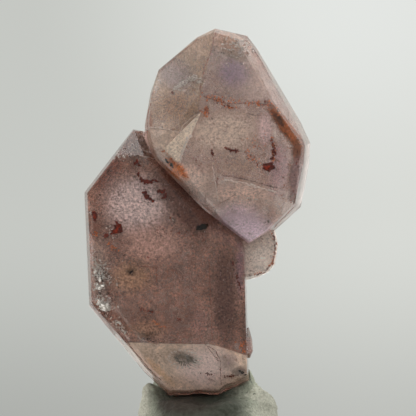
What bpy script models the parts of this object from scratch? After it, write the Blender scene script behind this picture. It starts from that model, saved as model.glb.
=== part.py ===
"""A skeletal amethyst: three tabular crystals grown through one another, standing in a lump of putty.

Units are metres with +Z up. The specimen is seen from -Y, as it is displayed. The origin is on the
surface that the putty stands on. Lengths below are in millimetres until MM turns them into metres.
"""

import math
import random
from dataclasses import dataclass

import bmesh
import bpy
from mathutils import Matrix, Vector, noise

MM = 0.001
SOCKET_GAP = 0.3
BLOCK_SIZE = 90.0
CUT_TOLERANCE = 0.001


@dataclass(frozen=True)
class Crystal:
    """A tabular crystal: an outline in the crystal's own plane, closed by faces in front and behind.

    plane is the depth y of the crystal's own plane at pivot, then how y grows along +x and along +z.
    Outline corners are x, z, clockwise from the top as seen from the front. Each side leans in towards
    the front and the back by an angle in degrees. A face is a point x, z, its height over the crystal's
    own plane, and how its y grows along +x and along +z.
    """

    name: str
    pivot: tuple
    plane: tuple
    outline: tuple
    front_leans: tuple
    back_leans: tuple
    front_faces: tuple
    back_faces: tuple

    def mid_depth(self, x, z):
        depth, along_x, along_z = self.plane
        return depth + along_x * (x - self.pivot[0]) + along_z * (z - self.pivot[1])

    def front_depth(self, x, z):
        """Depth of the crystal's front surface over a place in the outline."""
        return max(
            self.mid_depth(px, pz) - height + along_x * (x - px) + along_z * (z - pz)
            for px, pz, height, along_x, along_z in self.front_faces
        )

    def side_planes(self):
        """Two planes through each side of the outline: one leans to the front, the other to the back."""
        corners = [Vector((x, self.mid_depth(x, z), z)) for x, z in self.outline]
        planes = []
        for index, start in enumerate(corners):
            along = (corners[(index + 1) % len(corners)] - start).normalized()
            outward = along.cross(Vector((0, 1, 0))).normalized()
            backward = outward.cross(along)
            backward *= math.copysign(1, backward.y)
            for lean, way in ((self.front_leans[index], -1), (self.back_leans[index], 1)):
                angle = math.radians(lean)
                planes.append((start, outward * math.cos(angle) + backward * way * math.sin(angle)))
        return planes

    def broad_planes(self):
        """The planes of the faces in front and behind."""
        planes = []
        for faces, way in ((self.front_faces, 1), (self.back_faces, -1)):
            for x, z, height, along_x, along_z in faces:
                point = Vector((x, self.mid_depth(x, z) - way * height, z))
                planes.append((point, Vector((along_x, -1, along_z)).normalized() * way))
        return planes

    def planes(self):
        return self.side_planes() + self.broad_planes()


LOWER = Crystal(
    name="lower_crystal",
    pivot=(-4.0, 22.0),
    plane=(-0.9, 0.03, -0.04),
    outline=(
        (-8.1, 39.6),
        (-4.7, 39.0),
        (0.6, 35.6),
        (5.0, 28.0),
        (6.0, 24.2),
        (6.45, 8.1),
        (2.6, 6.3),
        (-3.6, 6.25),
        (-6.6, 9.0),
        (-13.6, 17.5),
        (-14.2, 31.7),
    ),
    front_leans=(12, 18, 15, 12, 6, 20, 24, 14, 12, 9, 8),
    back_leans=(24, 20, 26, 24, 16, 30, 28, 26, 24, 20, 26),
    front_faces=(
        (-4.0, 22.0, 3.7, -0.01, 0.005),
        (1.75, 22.0, 3.82, 0.50, 0.0),
        (-4.0, 12.9, 4.06, 0.02, -0.50),
        (-9.0, 36.0, 3.05, 0.0, 0.55),
        (-10.9, 22.0, 3.43, -0.26, -0.13),
        (2.66, 27.75, 1.66, 1.12, 1.0),
    ),
    back_faces=(
        (-3.0, 22.0, 7.1, 0.04, -0.03),
        (1.6, 22.0, 7.0, -0.62, -0.05),
        (-9.4, 22.0, 7.2, 0.55, 0.06),
        (-3.0, 33.2, 7.4, 0.05, -0.72),
        (-3.0, 13.6, 6.8, -0.04, 0.52),
    ),
)

UPPER = Crystal(
    name="upper_crystal",
    pivot=(1.3, 29.75),
    plane=(0.4, 0.08, -0.22),
    outline=(
        (2.2, 52.1),
        (6.2, 51.2),
        (7.5, 49.5),
        (13.0, 40.4),
        (14.15, 37.9),
        (14.05, 35.4),
        (13.0, 29.9),
        (9.4, 26.6),
        (5.9, 24.5),
        (0.1, 28.7),
        (-5.7, 35.2),
        (-6.65, 38.0),
        (-6.6, 40.2),
        (-5.85, 44.2),
        (-4.85, 47.0),
        (-0.1, 51.0),
    ),
    front_leans=(20, 12, 9, 9, 8, 8, 8, 8, 18, 18, 16, 14, 12, 12, 12, 16),
    back_leans=(18, 16, 14, 18, 22, 20, 22, 22, 22, 20, 18, 16, 16, 14, 16, 18),
    front_faces=(
        (6.5, 33.5, 6.36, 0.0, -0.06),
        (5.0, 43.0, 4.72, 0.024, 0.12),
        (0.3, 44.5, 3.96, -0.45, 0.248),
        (3.2, 33.75, 6.06, -0.14, -0.62),
        (-0.6, 37.5, 5.15, -0.20, -0.20),
        (-0.9, 32.7, 5.16, -0.75, -0.66),
        (11.2, 40.1, 5.67, 0.86, 0.52),
        (12.7, 35.0, 6.60, 0.98, -0.18),
    ),
    back_faces=(
        (5.0, 38.0, 5.0, 0.05, -0.16),
        (5.0, 44.6, 5.2, 0.08, -0.80),
        (9.4, 38.0, 5.2, -0.50, -0.12),
        (-0.6, 38.0, 4.6, 0.52, -0.22),
        (5.0, 31.4, 5.0, -0.05, 0.42),
    ),
)

THIRD = Crystal(
    name="third_crystal",
    pivot=(8.0, 25.0),
    plane=(1.7, 0.0, -0.02),
    outline=(
        (5.9, 30.4),
        (8.8, 29.2),
        (9.7, 27.2),
        (10.15, 25.2),
        (9.75, 22.6),
        (9.0, 21.7),
        (7.6, 21.0),
        (6.1, 20.6),
        (2.6, 20.2),
        (1.0, 25.6),
    ),
    front_leans=(20, 20, 16, 18, 20, 22, 20, 16, 14, 14),
    back_leans=(30, 34, 30, 26, 30, 32, 34, 30, 20, 20),
    front_faces=((8.0, 25.0, 1.2, 0.05, -0.04),),
    back_faces=(
        (7.0, 25.0, 3.1, -0.06, 0.05),
        (8.2, 25.0, 3.1, -0.70, 0.10),
    ),
)

SPLINTER = Crystal(
    name="splinter",
    pivot=(6.0, 13.0),
    plane=(0.2, 0.0, 0.0),
    outline=((5.2, 14.9), (6.45, 14.7), (6.85, 13.2), (6.95, 11.8), (6.6, 10.9), (5.2, 10.6)),
    front_leans=(20, 14, 12, 14, 26, 20),
    back_leans=(20, 14, 12, 14, 26, 20),
    front_faces=((6.2, 12.8, 1.4, 0.9, 0.0),),
    back_faces=((6.2, 12.8, 1.6, -0.8, 0.0),),
)

# Ledges of a face that stopped growing behind its own edges: width of the flat, its run down, its depth.
LEDGES = ((1.5, 0.14, 0.32), (1.25, 0.12, 0.36), (1.0, 0.10, 0.28))
LEDGE_WANDER = 0.35

# Patches of angular chips: crystal, centre x, z, half-spread in x and z, most chips, size, seed.
CHIP_TRIES = 6
CHIP_PATCHES = (
    (UPPER, (5.0, 50.2), (1.5, 1.3), 14, 0.60, 11),
    (UPPER, (-1.2, 45.2), (1.7, 0.8), 9, 0.50, 12),
    (UPPER, (5.8, 30.8), (2.0, 0.7), 8, 0.45, 13),
    (LOWER, (-11.8, 21.4), (0.9, 1.3), 8, 0.70, 14),
    (LOWER, (-11.6, 17.8), (0.9, 0.8), 8, 0.80, 15),
    (LOWER, (-9.7, 14.9), (0.9, 0.7), 6, 0.60, 16),
    (LOWER, (-9.1, 36.8), (0.9, 0.6), 5, 0.50, 17),
    (LOWER, (-1.9, 11.0), (1.4, 0.7), 7, 0.60, 18),
    (LOWER, (-13.2, 29.1), (0.3, 0.4), 3, 0.50, 19),
)

# Shells struck off the broken foot: centre and radius of each.
FOOT_SHELLS = (
    ((0.3, -1.6, 3.9), 3.1),
    ((4.6, -2.2, 4.9), 3.0),
)

PUTTY_CENTRE = (1.5, 1.8, 0.0)
PUTTY_RADII = (9.2, 8.4, 9.8)
PUTTY_SUBDIVISIONS = 5
PUTTY_LUMP_HEIGHT = 0.85
# The putty is pressed down in front: height of the slope at pressed_y, its fall, and where it ends.
PRESSED_Y = -1.0
PRESSED_HEIGHT = 5.9
PRESSED_FALL = 0.15
PRESSED_RISE = 4.5
PRESSED_RUN = 3.2
# Small bumps squeezed up beside the crystal: centre x, y, height above the lump, spread.
SQUEEZED_BUMPS = (
    (-6.5, 0.3, 2.9, 1.2),
    (6.3, 0.9, 1.8, 0.9),
    (-5.2, 3.4, 1.0, 1.6),
)


def clear_scene():
    """Removes whatever the file opened with."""
    for obj in list(bpy.data.objects):
        bpy.data.objects.remove(obj, do_unlink=True)


def new_collection(name):
    collection = bpy.data.collections.new(name)
    bpy.context.scene.collection.children.link(collection)
    return collection


def add_object(name, bm, collection):
    """Turns a bmesh in millimetres into an object in metres."""
    bmesh.ops.recalc_face_normals(bm, faces=bm.faces[:])
    bmesh.ops.scale(bm, vec=(MM, MM, MM), verts=bm.verts[:])
    mesh = bpy.data.meshes.new(name)
    bm.to_mesh(mesh)
    bm.free()
    obj = bpy.data.objects.new(name, mesh)
    collection.objects.link(obj)
    return obj


def cut_and_cap(bm, point, normal):
    """Cuts away all that lies beyond a plane, and closes the cut."""
    cut = bmesh.ops.bisect_plane(
        bm,
        geom=bm.verts[:] + bm.edges[:] + bm.faces[:],
        dist=CUT_TOLERANCE,
        plane_co=point,
        plane_no=normal,
        clear_outer=True,
    )
    rim = [edge for edge in cut["geom_cut"] if isinstance(edge, bmesh.types.BMEdge) and edge.is_boundary]
    if rim:
        bmesh.ops.edgeloop_fill(bm, edges=rim)


def crystal_bmesh(crystal, grow=0.0):
    """A block cut down by every plane of the crystal in turn, each moved outwards by grow."""
    bm = bmesh.new()
    bmesh.ops.create_cube(bm, size=BLOCK_SIZE, matrix=Matrix.Translation((0, 0, BLOCK_SIZE / 3)))
    for point, normal in crystal.planes():
        cut_and_cap(bm, point + normal * grow, normal)
    return bm


def sink_ledges(bm, ledges, seed):
    """Sinks the broadest face behind in uneven ledges, a window that stopped growing before its rim."""
    dice = random.Random(seed)
    bm.normal_update()
    behind = [face for face in bm.faces if face.normal.y > 0.9]
    window = max(behind, key=lambda face: face.calc_area())
    for flat, run, depth in ledges:
        bmesh.ops.inset_individual(bm, faces=[window], thickness=flat, use_even_offset=True)
        for vert in window.verts:
            wander = Vector((dice.uniform(-1, 1), 0, dice.uniform(-1, 1))) * LEDGE_WANDER
            vert.co += wander - window.normal * wander.dot(window.normal)
        bmesh.ops.inset_individual(
            bm, faces=[window], thickness=run, depth=-depth, use_even_offset=True
        )


def join(target, other, operation):
    """Adds a Boolean modifier to the target and hides the other object."""
    modifier = target.modifiers.new(f"{operation.lower()}_{other.name}", "BOOLEAN")
    modifier.operation = operation
    modifier.solver = "EXACT"
    modifier.object = other
    other.hide_render = True
    other.display_type = "WIRE"


def chip_cutter(crystal, centre, spread, count, size, seed, collection):
    """Small tilted blocks, clear of one another, that bite angular chips into a crystal's front."""
    dice = random.Random(seed)
    bm = bmesh.new()
    places = []
    for _ in range(CHIP_TRIES * count):
        x = centre[0] + dice.uniform(-spread[0], spread[0])
        z = centre[1] + dice.uniform(-spread[1], spread[1])
        place = Vector((x, crystal.front_depth(x, z) - size * dice.uniform(0.15, 0.35), z))
        width = size * dice.uniform(0.5, 1.0)
        if all((place - other).length > 0.87 * (width + wide) for other, wide in places):
            places.append((place, width))
    for place, width in places[:count]:
        turn = Matrix.Rotation(dice.uniform(0.3, 1.2), 4, "X") @ Matrix.Rotation(
            dice.uniform(0.3, 1.2), 4, "Z"
        )
        bmesh.ops.create_cube(bm, size=width, matrix=Matrix.Translation(place) @ turn)
    return add_object(f"chips_{seed}", bm, collection)


def shell_cutter(index, centre, radius, collection):
    """A ball that leaves a shell-shaped scar."""
    bm = bmesh.new()
    bmesh.ops.create_icosphere(
        bm, subdivisions=3, radius=radius, matrix=Matrix.Translation(centre)
    )
    return add_object(f"foot_shell_{index}", bm, collection)


def material(name, colour, roughness, transmission=0.0, ior=1.5):
    made = bpy.data.materials.new(name)
    made.use_nodes = True
    shader = made.node_tree.nodes["Principled BSDF"]
    shader.inputs["Base Color"].default_value = (*colour, 1.0)
    shader.inputs["Roughness"].default_value = roughness
    shader.inputs["Metallic"].default_value = 0.0
    shader.inputs["Transmission Weight"].default_value = transmission
    shader.inputs["IOR"].default_value = ior
    made.diffuse_color = (*colour, 1.0)
    return made


def build_cluster(parts, growths):
    """The three crystals as one solid, with its ledges, its chips and its broken foot."""
    lower = crystal_bmesh(LOWER)
    upper = crystal_bmesh(UPPER)
    sink_ledges(lower, LEDGES, seed=3)
    sink_ledges(upper, LEDGES[:1], seed=4)
    cluster = add_object("crystal_cluster", lower, parts)
    join(cluster, add_object(UPPER.name, upper, growths), "UNION")
    for crystal in (THIRD, SPLINTER):
        join(cluster, add_object(crystal.name, crystal_bmesh(crystal), growths), "UNION")
    for index, (centre, radius) in enumerate(FOOT_SHELLS):
        join(cluster, shell_cutter(index, centre, radius, growths), "DIFFERENCE")
    for patch in CHIP_PATCHES:
        join(cluster, chip_cutter(*patch, growths), "DIFFERENCE")
    cluster.data.materials.append(material("amethyst", (0.42, 0.27, 0.27), 0.12, 0.8, 1.544))
    return cluster


def putty_height(place):
    """Height of a point of the lump, once pressed down in front and squeezed up beside the crystal."""
    rise = min(max((place.y - PRESSED_Y) / PRESSED_RUN, 0.0), 1.0)
    limit = PRESSED_HEIGHT + PRESSED_FALL * min(place.y - PRESSED_Y, 0.0) + PRESSED_RISE * rise**1.5
    height = min(place.z, limit) - 0.12 * max(place.z - limit, 0.0)
    for x, y, bump, spread in SQUEEZED_BUMPS:
        away = (Vector((x, y)) - place.xy).length / spread
        height += bump * math.exp(-away * away) * min(1.0, place.z / 4.0)
    return height


def build_putty(parts, growths):
    """A pressed lump of putty, flat below, with a socket that the crystal's foot stands in."""
    bm = bmesh.new()
    bmesh.ops.create_icosphere(bm, subdivisions=PUTTY_SUBDIVISIONS, radius=1.0)
    for vert in bm.verts:
        out = vert.co.copy()
        place = Vector(axis * radius for axis, radius in zip(out, PUTTY_RADII)) + Vector(PUTTY_CENTRE)
        if place.z > 0:
            place.z = putty_height(place)
        ripple = noise.fractal(place * 0.24 + Vector((3.1, 1.7, 5.2)), 1.0, 2.2, 3)
        vert.co = place + out * PUTTY_LUMP_HEIGHT * ripple
    cut_and_cap(bm, Vector((0, 0, 0)), Vector((0, 0, -1)))
    putty = add_object("putty_lump", bm, parts)
    join(putty, add_object("socket", crystal_bmesh(LOWER, grow=SOCKET_GAP), growths), "DIFFERENCE")
    putty.data.materials.append(material("putty", (0.50, 0.52, 0.46), 0.85))
    return putty


def main():
    clear_scene()
    parts = new_collection("skeletal_amethyst")
    growths = new_collection("growths_and_cutters")
    build_cluster(parts, growths)
    build_putty(parts, growths)


main()
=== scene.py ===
"""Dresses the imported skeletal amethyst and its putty, and lights them in a plain pale studio.

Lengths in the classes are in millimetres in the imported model's frame, and MM turns them into metres.
The specimen is seen from -Y. Colours are linear red, green and blue.
"""

import logging
import math
import random
from dataclasses import dataclass
from enum import Enum

import bmesh
import bpy
from bmesh.types import BMEdge, BMesh, BMVert
from bpy.types import Material, Node, NodeSocket, Object
from mathutils import Matrix, Vector, noise


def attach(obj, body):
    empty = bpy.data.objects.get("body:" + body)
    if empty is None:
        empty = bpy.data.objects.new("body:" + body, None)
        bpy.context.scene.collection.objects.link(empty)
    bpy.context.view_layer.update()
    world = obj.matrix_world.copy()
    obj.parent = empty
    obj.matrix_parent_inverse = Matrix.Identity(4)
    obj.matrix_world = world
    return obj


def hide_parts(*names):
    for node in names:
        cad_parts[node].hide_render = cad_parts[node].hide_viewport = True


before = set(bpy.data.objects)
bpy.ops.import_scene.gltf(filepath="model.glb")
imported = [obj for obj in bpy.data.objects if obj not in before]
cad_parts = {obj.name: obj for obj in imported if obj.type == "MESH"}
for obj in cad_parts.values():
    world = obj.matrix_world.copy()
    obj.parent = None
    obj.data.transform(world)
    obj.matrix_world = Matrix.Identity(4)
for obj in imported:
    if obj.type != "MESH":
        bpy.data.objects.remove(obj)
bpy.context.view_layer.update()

log = logging.getLogger("amethyst")

MM = 0.001
PHOTO_PIXELS = 416
MM_PER_PIXEL = 0.125
ROOT = "root"
CLUSTER_NODE = "crystal_cluster"
PUTTY_NODE = "putty_lump"

BLOCK_SIZE = 90.0
BLOCK_MIDDLE = (0.0, 0.0, 30.0)
CUT_DISTANCE = 0.001
WELD_DISTANCE = 0.002

Colour = tuple[float, float, float]
Point = tuple[float, float, float]
Place = tuple[float, float]
Plane = tuple[Vector, Vector]


class Side(Enum):
    """Which side of a crystal a broad face closes."""

    FRONT = 1
    BACK = -1


class Recipe:
    """A node material under construction, whose patterns read Object coordinates in millimetres."""

    def __init__(self, name: str) -> None:
        """Starts a material.

        Args:
            name: The material's name.
        """
        self.material = bpy.data.materials.new(name)
        self.material.use_nodes = True
        self.tree = self.material.node_tree
        self.shader = self.tree.nodes["Principled BSDF"]
        self.output = self.tree.nodes["Material Output"]
        self.object_place = self.add("ShaderNodeTexCoord").outputs["Object"]
        self.place = self.add(
            "ShaderNodeVectorMath", {"operation": "SCALE"}, Vector=self.object_place, Scale=1 / MM
        ).outputs["Vector"]
        self.ragged = self.place

    def add(self, kind: str, settings: dict | None = None, **inputs: object) -> Node:
        """Adds a node.

        Args:
            kind: The node's type.
            settings: Properties of the node itself.
            inputs: A value or a socket for each named input, with underscores for spaces.

        Returns:
            The new node.
        """
        node = self.tree.nodes.new(kind)
        for name, value in (settings or {}).items():
            setattr(node, name, value)
        for name, value in inputs.items():
            self.feed(node.inputs[name.replace("_", " ")], value)
        return node

    def feed(self, socket: NodeSocket, value: object) -> None:
        """Links a socket to another, or sets its own value.

        Args:
            socket: The input.
            value: The output to link, or the value to set.
        """
        if isinstance(value, NodeSocket):
            self.tree.links.new(value, socket)
        else:
            socket.default_value = value

    def set(self, **values: object) -> None:
        """Feeds the Principled shader's own sockets, named with underscores for spaces."""
        for name, value in values.items():
            self.feed(self.shader.inputs[name.replace("_", " ")], value)

    def vector(self, operation: str, first: object, second: object) -> NodeSocket:
        """Joins two vectors.

        Args:
            operation: The operation's name.
            first: A vector or a socket.
            second: A vector or a socket.

        Returns:
            The resulting vector.
        """
        node = self.add("ShaderNodeVectorMath", {"operation": operation})
        self.feed(node.inputs[0], first)
        self.feed(node.inputs[1], second)
        return node.outputs["Vector"]

    def rag(self, size: float, reach: float) -> None:
        """Makes the edges of the blobs that follow ragged.

        Args:
            size: Rough width of the waves along an edge, in millimetres.
            reach: How far they push the edge.
        """
        waves = self.add("ShaderNodeTexNoise", Vector=self.place, Scale=1 / size, Detail=5.0, Roughness=0.65)
        centred = self.vector("SUBTRACT", waves.outputs["Color"], (0.5, 0.5, 0.5))
        self.ragged = self.vector("ADD", self.place, self.vector("MULTIPLY", centred, (reach,) * 3))

    def mapped(self, place: NodeSocket, middle: Point, tilt: float, scale: Point) -> NodeSocket:
        """Centres, turns and sizes a pattern.

        Args:
            place: Where it is read.
            middle: Its middle, x, y, z.
            tilt: Its turn about y, in degrees.
            scale: Its size along x, y and z.

        Returns:
            The place within the pattern.
        """
        mapping = self.add(
            "ShaderNodeMapping",
            {"vector_type": "TEXTURE"},
            Vector=place,
            Location=middle,
            Rotation=(0.0, math.radians(tilt), 0.0),
            Scale=scale,
        )
        return mapping.outputs["Vector"]

    def noise(
        self,
        size: float,
        detail: float = 6.0,
        rough: float = 0.6,
        stretch: Point = (1.0, 1.0, 1.0),
        tilt: float = 0.0,
        bend: float = 0.0,
        shift: float = 0.0,
    ) -> NodeSocket:
        """A cloudy pattern.

        Args:
            size: Rough width of a cloud, in millimetres.
            detail: Octaves.
            rough: Strength of each finer octave.
            stretch: How much longer the clouds are along x, y and z.
            tilt: Turn of the pattern about y, in degrees.
            bend: How far the clouds are warped.
            shift: Moves the pattern, so that no two are alike.

        Returns:
            The pattern, from 0 to 1.
        """
        middle = (shift, shift * 0.7, shift * 1.3)
        texture = self.add(
            "ShaderNodeTexNoise",
            Vector=self.mapped(self.place, middle, tilt, tuple(size * each for each in stretch)),
            Scale=1.0,
            Detail=detail,
            Roughness=rough,
            Distortion=bend,
        )
        return texture.outputs["Fac"]

    def remap(
        self, value: NodeSocket, low: float, high: float, to_low: float = 0.0, to_high: float = 1.0
    ) -> NodeSocket:
        """Stretches part of a pattern's range with soft ends.

        Args:
            value: The pattern.
            low: Where it starts.
            high: Where it ends.
            to_low: What the start becomes.
            to_high: What the end becomes.

        Returns:
            The new pattern.
        """
        node = self.add(
            "ShaderNodeMapRange",
            {"interpolation_type": "SMOOTHSTEP"},
            Value=value,
            From_Min=low,
            From_Max=high,
            To_Min=to_low,
            To_Max=to_high,
        )
        return node.outputs["Result"]

    def blob(self, centre: Point, radii: Point, tilt: float = 0.0) -> NodeSocket:
        """A soft ellipsoid, turned about y by tilt degrees: 1 in its middle and 0 at its rim."""
        place = self.mapped(self.ragged, centre, tilt, radii)
        return self.add("ShaderNodeTexGradient", {"gradient_type": "SPHERICAL"}, Vector=place).outputs["Fac"]

    def maths(self, operation: str, first: object, second: object = 0.0) -> NodeSocket:
        """Joins two values.

        Args:
            operation: The operation's name.
            first: A value or a socket.
            second: A value or a socket.

        Returns:
            The result, held between 0 and 1.
        """
        node = self.add("ShaderNodeMath", {"operation": operation, "use_clamp": True})
        self.feed(node.inputs[0], first)
        self.feed(node.inputs[1], second)
        return node.outputs[0]

    def mix(self, factor: object, first: object, second: object) -> NodeSocket:
        """Mixes two colours.

        Args:
            factor: 0 for the first, 1 for the second.
            first: A colour or a socket.
            second: A colour or a socket.

        Returns:
            The mixed colour.
        """
        node = self.add("ShaderNodeMix", {"data_type": "RGBA", "blend_type": "MIX"})
        self.feed(node.inputs[0], factor)
        for socket, colour in ((node.inputs[6], first), (node.inputs[7], second)):
            self.feed(socket, colour if isinstance(colour, NodeSocket) else (*colour, 1.0))
        return node.outputs[2]

    def blend(self, factor: NodeSocket, first: NodeSocket, second: float) -> NodeSocket:
        """Goes from a pattern, where factor is 0, to a plain value, where it is 1."""
        away = self.maths("MULTIPLY", first, self.maths("SUBTRACT", 1.0, factor))
        return self.maths("ADD", away, self.maths("MULTIPLY", factor, second))

    def shade(self, colour: object, factor: NodeSocket) -> NodeSocket:
        """Makes a colour or its socket lighter or darker."""
        node = self.add("ShaderNodeVectorMath", {"operation": "SCALE"}, Vector=colour, Scale=factor)
        return node.outputs["Vector"]

    def bump(self, height: NodeSocket, strength: float, depth: float) -> None:
        """Roughens the surface with a pattern that is depth millimetres high."""
        node = self.add("ShaderNodeBump", Height=height, Strength=strength, Distance=depth * MM)
        self.set(Normal=node.outputs["Normal"])


@dataclass(frozen=True)
class Zone:
    """A tinted part of a crystal's haze or of the putty, with how densely it is clouded; some zones are
    painted shadow, painted shade or painted highlights.
    """

    centre: Point
    radii: Point
    colour: Colour
    strength: float
    cover: float = 0.3
    tilt: float = 0.0


@dataclass(frozen=True)
class Specks:
    """Fine specks or streaks of one colour all through a haze."""

    colour: Colour
    size: float
    start: float
    strength: float
    stretch: Point = (1.0, 1.0, 1.0)
    tilt: float = 0.0
    edge: float = 0.05


@dataclass(frozen=True)
class ClearFinish:
    """The clear outside of a crystal, with frosted patches where it is etched."""

    name: str
    tint: Colour
    frost: Colour
    frosted: tuple[tuple[Point, Point], ...]
    absorption: Colour
    density: float
    frost_roughness: float = 0.3
    ior: float = 1.544

    def material(self) -> Material:
        """Makes the see-through material with its growth marks.

        Returns:
            The material.
        """
        recipe = Recipe(self.name)
        recipe.rag(size=1.2, reach=1.5)
        frosting = recipe.remap(recipe.noise(0.30, detail=4.0, rough=0.7, shift=7.0), 0.50, 0.64)
        patches = 0.0
        for centre, radii in self.frosted:
            patches = recipe.maths("MAXIMUM", patches, recipe.remap(recipe.blob(centre, radii), 0.0, 0.7))
        patches = recipe.maths("MULTIPLY", patches, frosting)
        recipe.set(
            Base_Color=recipe.mix(patches, self.tint, self.frost),
            Roughness=recipe.maths("MULTIPLY", patches, self.frost_roughness),
            Transmission_Weight=1.0,
            IOR=self.ior,
            Specular_IOR_Level=0.5,
        )
        lines = recipe.noise(0.5, rough=0.65, stretch=(7.0, 7.0, 0.5))
        pits = recipe.noise(0.7, detail=8.0, rough=0.62, shift=3.0)
        height = recipe.maths("ADD", recipe.maths("MULTIPLY", lines, 0.4), pits)
        recipe.bump(height, strength=0.12, depth=0.05)
        tint = (*self.absorption, 1.0)
        volume = recipe.add("ShaderNodeVolumeAbsorption", Color=tint, Density=self.density)
        recipe.tree.links.new(volume.outputs["Volume"], recipe.output.inputs["Volume"])
        return recipe.material


@dataclass(frozen=True)
class HazeFinish:
    """Cloudy quartz inside a crystal, streaked and tinted zone by zone, some zones being painted shadow and
    shade, and thin enough to see into.

    thin and thick are its least and most cover, shift moves its patterns, and grain is how strongly the
    finest one tells.
    """

    name: str
    light: Colour
    dark: Colour
    zones: tuple[Zone, ...]
    specks: tuple[Specks, ...]
    thin: float
    thick: float
    shift: float
    grain: float = 0.55
    grain_size: float = 0.26
    veil_shift: float = 31.0
    speck_shift: float = 13.0
    grain_shift: float = 23.0

    def material(self) -> Material:
        """Makes the hazy material.

        Returns:
            The material.
        """
        recipe = Recipe(self.name)
        recipe.rag(size=0.8, reach=1.3)
        clouds = recipe.noise(3.5, detail=9.0, rough=0.62, bend=0.6, shift=self.shift)
        colour = recipe.mix(recipe.remap(clouds, 0.32, 0.68), self.dark, self.light)
        veils = recipe.noise(1.8, detail=8.0, rough=0.68, bend=0.9, shift=self.shift + self.veil_shift)
        cover = recipe.remap(veils, 0.34, 0.64, self.thin, self.thick)
        # zone tints, among them the lower crystal's painted shadow and painted shade
        for zone in self.zones:
            blob = recipe.blob(zone.centre, zone.radii, zone.tilt)
            edge = recipe.remap(blob, 0.0, 0.7, to_high=zone.strength)
            colour = recipe.mix(edge, colour, zone.colour)
            cover = recipe.blend(edge, cover, zone.cover)
        for number, specks in enumerate(self.specks, start=1):
            shift = self.shift + self.speck_shift * number
            pattern = recipe.noise(specks.size, 4.0, 0.7, specks.stretch, specks.tilt, 0.4, shift)
            edge = recipe.remap(pattern, specks.start, specks.start + specks.edge, to_high=specks.strength)
            colour = recipe.mix(edge, colour, specks.colour)
            cover = recipe.maths("MAXIMUM", cover, edge)
        shift = self.shift + self.grain_shift
        grain = recipe.noise(self.grain_size, detail=9.0, rough=0.80, bend=0.3, shift=shift)
        grain = recipe.remap(grain, 0.34, 0.66, 1.0 - self.grain, 1.0 + self.grain)
        recipe.set(
            Base_Color=recipe.shade(colour, grain),
            Roughness=0.7,
            Specular_IOR_Level=0.2,
            Alpha=cover,
        )
        return recipe.material


@dataclass(frozen=True)
class FleckFinish:
    """Small solid inclusions: iron flakes, dark voids, white fracture plates and healed cracks.

    mottle is the width of their clouds, and vary how far their roughness departs from its middle.
    """

    name: str
    light: Colour
    dark: Colour
    roughness: float
    alpha: float = 1.0
    mottle: float = 0.3
    shine: float = 0.3
    vary: float = 0.3

    def material(self) -> Material:
        """Makes the fleck's material.

        Returns:
            The material.
        """
        recipe = Recipe(self.name)
        mottle = recipe.remap(recipe.noise(self.mottle, detail=5.0, rough=0.7), 0.38, 0.62)
        smoothest = self.roughness * (1.0 - self.vary)
        roughest = self.roughness * (1.0 + self.vary)
        recipe.set(
            Base_Color=recipe.mix(mottle, self.dark, self.light),
            Roughness=recipe.remap(recipe.noise(0.2), 0.3, 0.7, smoothest, roughest),
            Specular_IOR_Level=self.shine,
            Alpha=self.alpha,
        )
        return recipe.material


@dataclass(frozen=True)
class PuttyFinish:
    """Grey-green putty with dark specks and pale smears. Its left and right shoulders carry painted
    highlights, and its front under the crystal carries a dark and brown painted shadow.
    """

    name: str = "putty_clay"
    body: Colour = (0.26, 0.27, 0.21)
    pale: Colour = (0.46, 0.45, 0.37)
    speck: Colour = (0.04, 0.045, 0.035)
    zones: tuple[Zone, ...] = (
        # painted highlight: the lit left shoulder
        Zone((-7.4, -2.0, 6.4), (2.2, 7.0, 5.5), (0.375, 0.36, 0.30), 0.9),
        # painted highlight: the lit right shoulder
        Zone((9.4, -2.0, 5.0), (2.8, 7.0, 6.0), (0.25, 0.245, 0.20), 0.9),
        # painted shadow: the crystal's shadow over the middle of the front
        Zone((0.4, -5.0, 4.6), (8.2, 12.0, 7.0), (0.034, 0.036, 0.026), 0.97),
        # painted shadow: dark brown shade in the recess right under the crystal's foot
        Zone((-1.8, -4.0, 6.4), (6.6, 6.0, 3.2), (0.022, 0.015, 0.010), 0.95),
    )

    def material(self) -> Material:
        """Makes the putty's material.

        Returns:
            The material.
        """
        recipe = Recipe(self.name)
        recipe.rag(size=0.9, reach=1.4)
        smear = recipe.remap(recipe.noise(2.6, shift=4.0, bend=0.7), 0.48, 0.70)
        colour = recipe.mix(smear, self.body, self.pale)
        specks = recipe.remap(recipe.noise(0.42, detail=4.0, rough=0.75, shift=9.0), 0.58, 0.64)
        colour = recipe.mix(recipe.maths("MULTIPLY", specks, 0.9), colour, self.speck)
        # the zones paint highlights on the shoulders and the crystal's shadow on the front
        for zone in self.zones:
            edge = recipe.remap(recipe.blob(zone.centre, zone.radii), 0.0, 0.5, to_high=zone.strength)
            colour = recipe.mix(edge, colour, zone.colour)
        grain = recipe.remap(recipe.noise(0.25, detail=7.0, rough=0.75, shift=6.0), 0.3, 0.7, 0.7, 1.25)
        recipe.set(
            Base_Color=recipe.shade(colour, grain),
            Roughness=recipe.remap(recipe.noise(0.6), 0.3, 0.7, 0.72, 0.95),
            Specular_IOR_Level=0.3,
        )
        recipe.bump(recipe.noise(0.22, detail=8.0, rough=0.75, shift=2.0), strength=0.8, depth=0.09)
        return recipe.material


@dataclass(frozen=True)
class TableFinish:
    """A plain pale table top."""

    name: str = "pale_table"
    colour: Colour = (0.43, 0.44, 0.42)

    def material(self) -> Material:
        """Makes the table's material.

        Returns:
            The material.
        """
        recipe = Recipe(self.name)
        mottle = recipe.remap(recipe.noise(8.0), 0.3, 0.7, 0.97, 1.03)
        recipe.set(
            Base_Color=recipe.shade(self.colour, mottle),
            Roughness=0.8,
            Specular_IOR_Level=0.1,
        )
        return recipe.material


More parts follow.
